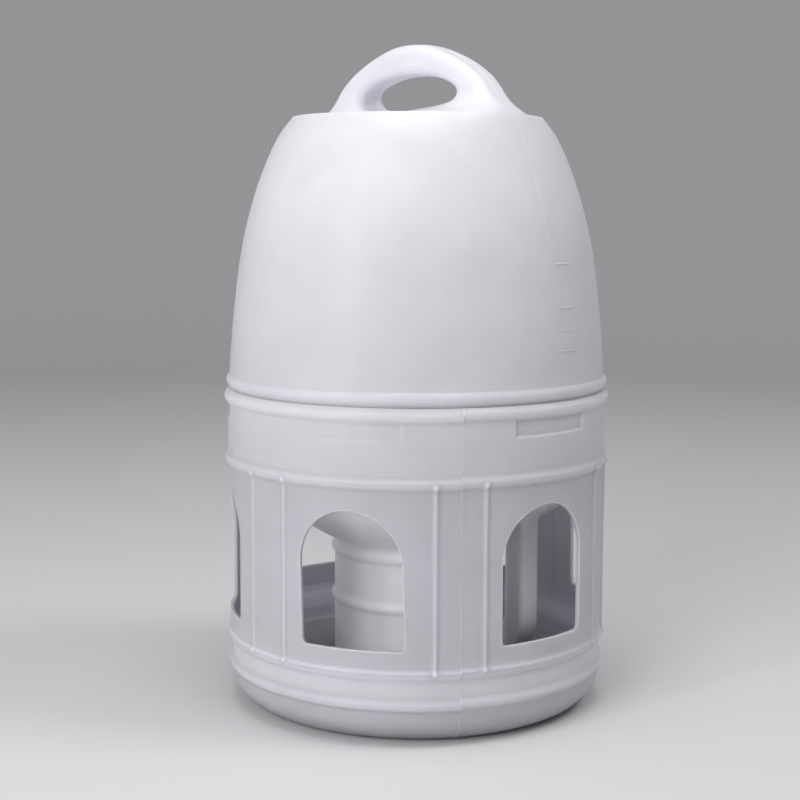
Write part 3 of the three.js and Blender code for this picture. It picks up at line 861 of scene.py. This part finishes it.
def white_plastic(name, colour, rough, bump, painted_shade, soft=0.7, painted_glow=0.0):
    """Satin white polyethylene: light goes a little way in, the skin is finely mottled, and each convex edge
    gets a painted highlight. The painted shade, (height in mm, factor) pairs, says how much of the colour is
    left at each height. The last argument paints light on the neck as an emission, with painted shade on
    the neck's handle."""
    material = bpy.data.materials.new(name)
    material.use_nodes = True
    nodes, links = material.node_tree.nodes, material.node_tree.links
    shader = nodes["Principled BSDF"]
    place = nodes.new("ShaderNodeTexCoord")

    def noise(scale, detail, roughness=0.5):
        node = nodes.new("ShaderNodeTexNoise")
        node.inputs["Scale"].default_value = scale
        node.inputs["Detail"].default_value = detail
        node.inputs["Roughness"].default_value = roughness
        links.new(place.outputs["Object"], node.inputs["Vector"])
        return node.outputs["Fac"]

    def remap(value, low, high):
        node = nodes.new("ShaderNodeMapRange")
        node.inputs["From Min"].default_value = 0.3
        node.inputs["From Max"].default_value = 0.7
        node.inputs["To Min"].default_value = low
        node.inputs["To Max"].default_value = high
        links.new(value, node.inputs["Value"])
        return node.outputs["Result"]

    tint = nodes.new("ShaderNodeMix")
    tint.data_type = "RGBA"
    links.new(remap(noise(38, 4), 0, 1), tint.inputs["Factor"])
    tint.inputs["A"].default_value = (*[c * 0.965 for c in colour], 1)
    tint.inputs["B"].default_value = (*[min(c * 1.02, 1) for c in colour], 1)
    height = nodes.new("ShaderNodeSeparateXYZ")
    links.new(place.outputs["Object"], height.inputs["Vector"])
    scaled = nodes.new("ShaderNodeMapRange")
    scaled.inputs["From Max"].default_value = HANDLE_TOP
    links.new(height.outputs["Z"], scaled.inputs["Value"])
    # painted shade: a ramp by height darkens the colour with the given factors
    ramp = nodes.new("ShaderNodeValToRGB")
    ramp.color_ramp.interpolation = "EASE"
    stops = ramp.color_ramp.elements
    for k, (z, left) in enumerate(painted_shade):
        stop = stops[k] if k < 2 else stops.new(1.0)
        stop.position = z * MM / HANDLE_TOP
        stop.color = (left, left, left, 1)
    links.new(scaled.outputs["Result"], ramp.inputs["Fac"])
    shaded = nodes.new("ShaderNodeMix")
    shaded.data_type = "RGBA"
    shaded.blend_type = "MULTIPLY"
    shaded.inputs["Factor"].default_value = 1.0
    links.new(tint.outputs["Result"], shaded.inputs["A"])
    links.new(ramp.outputs["Color"], shaded.inputs["B"])
    # painted highlight: convex edges are mixed towards a brighter copy of the colour
    shape = nodes.new("ShaderNodeNewGeometry")
    painted_highlight_mask = nodes.new("ShaderNodeMapRange")
    painted_highlight_mask.inputs["From Min"].default_value = 0.51
    painted_highlight_mask.inputs["From Max"].default_value = 0.6
    painted_highlight_mask.inputs["To Max"].default_value = 0.8
    links.new(shape.outputs["Pointiness"], painted_highlight_mask.inputs["Value"])
    edges = nodes.new("ShaderNodeMix")
    edges.data_type = "RGBA"
    edges.inputs["B"].default_value = (*[min(c * 1.08, 1) for c in colour], 1)
    links.new(painted_highlight_mask.outputs["Result"], edges.inputs["Factor"])
    links.new(shaded.outputs["Result"], edges.inputs["A"])
    links.new(edges.outputs["Result"], shader.inputs["Base Color"])
    if painted_glow:
        def level(coordinate, low, high, at_low, at_high):
            node = nodes.new("ShaderNodeMapRange")
            sockets = ("From Min", "From Max", "To Min", "To Max")
            for socket, value in zip(sockets, (low, high, at_low, at_high)):
                node.inputs[socket].default_value = value
            links.new(coordinate, node.inputs["Value"])
            return node.outputs["Result"]

        def times(first, second):
            node = nodes.new("ShaderNodeMath")
            node.operation = "MULTIPLY"
            links.new(first, node.inputs[0])
            links.new(second, node.inputs[1])
            return node.outputs["Value"]

        # painted light: the neck glows a little, an emission of its own colour; painted shade: its handle,
        # further out on the +X side, is darkened as though in the shade of the wall
        inward = level(height.outputs["X"], 48 * MM, 60 * MM, 1, 0)
        lit = times(inward, level(height.outputs["Z"], 104 * MM, 124 * MM, painted_glow, 0))
        shader.inputs["Emission Color"].default_value = (*colour, 1)
        links.new(lit, shader.inputs["Emission Strength"])
        # painted shade: the neck's handle below the funnel is mixed towards a darker copy of the colour
        outward = level(height.outputs["X"], 48 * MM, 60 * MM, 0, 1)
        shade = nodes.new("ShaderNodeMix")
        shade.data_type = "RGBA"
        shade.inputs["B"].default_value = (*[c * STRAP_PAINTED_SHADE for c in colour], 1)
        under = level(height.outputs["Z"], 106 * MM, 118 * MM, 1, 0)
        links.new(times(outward, under), shade.inputs["Factor"])
        links.new(edges.outputs["Result"], shade.inputs["A"])
        links.new(shade.outputs["Result"], shader.inputs["Base Color"])
    links.new(remap(noise(220, 3), rough - 0.04, rough + 0.05), shader.inputs["Roughness"])
    grain = nodes.new("ShaderNodeBump")
    grain.inputs["Strength"].default_value = bump
    grain.inputs["Distance"].default_value = 0.00012
    links.new(noise(1500, 3, 0.6), grain.inputs["Height"])
    slow = nodes.new("ShaderNodeBump")
    slow.inputs["Strength"].default_value = 0.35
    slow.inputs["Distance"].default_value = 0.0006
    links.new(noise(45, 2), slow.inputs["Height"])
    links.new(slow.outputs["Normal"], grain.inputs["Normal"])
    links.new(grain.outputs["Normal"], shader.inputs["Normal"])
    shader.inputs["Subsurface Weight"].default_value = soft
    shader.inputs["Subsurface Radius"].default_value = (1.0, 0.97, 1.0)
    shader.inputs["Subsurface Scale"].default_value = 0.006
    shader.inputs["IOR"].default_value = 1.5
    return material


def plain(name, colour, rough):
    material = bpy.data.materials.new(name)
    material.use_nodes = True
    shader = material.node_tree.nodes["Principled BSDF"]
    shader.inputs["Base Color"].default_value = (*colour, 1)
    shader.inputs["Roughness"].default_value = rough
    return material


# ---- studio ----------------------------------------------------------------------------------------
def turned(axis, degrees):
    return Matrix.Rotation(math.radians(degrees), 3, axis)


def add_camera():
    """Looks at the middle bead from the front right, a little above it, then aims down and to the side."""
    rise = math.radians(CAMERA_RISE)
    data = bpy.data.cameras.new("camera")
    data.lens = CAMERA_LENS
    data.sensor_width = 36
    camera = bpy.data.objects.new("camera", data)
    bpy.context.scene.collection.objects.link(camera)
    bpy.context.scene.camera = camera
    heading = turned("Z", CAMERA_TURN)
    place = heading @ Vector((0, -math.cos(rise), math.sin(rise))) * CAMERA_DISTANCE
    looking = heading @ turned("X", 90 - CAMERA_RISE)
    looking = looking @ turned("Y", CAMERA_PAN) @ turned("X", CAMERA_TILT) @ turned("Z", CAMERA_ROLL)
    camera.matrix_world = Matrix.Translation(place + Vector((0, 0, MIDDLE_BEAD_Z))) @ looking.to_4x4()
    data.clip_start, data.clip_end = 0.01, 50
    return camera


def add_light(name, turn, rise, distance, size, power, aim_z):
    """A soft rectangular light, aimed at a point on the object's axis."""
    data = bpy.data.lights.new(name, "AREA")
    data.shape = "RECTANGLE"
    data.size, data.size_y = size
    data.energy = power
    light = bpy.data.objects.new(name, data)
    bpy.context.scene.collection.objects.link(light)
    a, e = math.radians(turn), math.radians(rise)
    aim = Vector((0, 0, aim_z))
    way = Vector((math.sin(a) * math.cos(e), -math.cos(a) * math.cos(e), math.sin(e)))
    light.location = aim + distance * way
    light.rotation_euler = (aim - light.location).to_track_quat("-Z", "Y").to_euler()
    return light


def add_cove():
    """A pale floor that curves up into a round backdrop."""
    bend = np.radians(np.linspace(0, 90, 13))
    profile = [(0.0, 0.0), *zip(COVE_RADIUS + COVE_BEND * np.sin(bend), COVE_BEND * (1 - np.cos(bend)))]
    profile = np.array([*profile, (COVE_RADIUS + COVE_BEND, COVE_HEIGHT)])
    skin = Skin()
    skin.grid(round_axis(profile[:, :1], np.linspace(0, 360, 49)[None, :-1], profile[:, 1:2]), closed=True)
    cove = skin.build("cove")
    cove.data.materials.append(plain("paper", PAPER, 0.7))


def add_studio():
    add_cove()
    world = bpy.data.worlds.new("studio")
    world.use_nodes = True
    world.node_tree.nodes["Background"].inputs["Color"].default_value = SKY
    world.node_tree.nodes["Background"].inputs["Strength"].default_value = SKY_STRENGTH
    bpy.context.scene.world = world
    for name, turn, rise, distance, size, power, aim_z, glossy in LIGHTS:
        add_light(name, turn, rise, distance, size, power, aim_z).visible_glossy = glossy
    bpy.context.scene.view_settings.view_transform = "Standard"


# ---- assembly --------------------------------------------------------------------------------------
add_camera()
add_studio()

base_slot, bell_slot = "base_plastic", "reservoir_plastic"
base = make_base()
base.data.materials.append(white_plastic("base_white", slot_colour(base_slot), 0.4, 0.25, BASE_PAINTED_SHADE))
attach(base, "base")
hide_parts("base")

reservoir = make_reservoir()
bell_white = white_plastic("reservoir_white", slot_colour(bell_slot), 0.37, 0.25, BELL_PAINTED_SHADE, painted_glow=NECK_PAINTED_GLOW)
reservoir.data.materials.append(bell_white)
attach(reservoir, "reservoir")
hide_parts("reservoir")

marks = make_marks()
marks.data.materials.append(white_plastic("mark_white", slot_colour(bell_slot), 0.37, 0.25, BELL_PAINTED_SHADE, 0.0))
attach(marks, "reservoir")

bpy.context.view_layer.update()
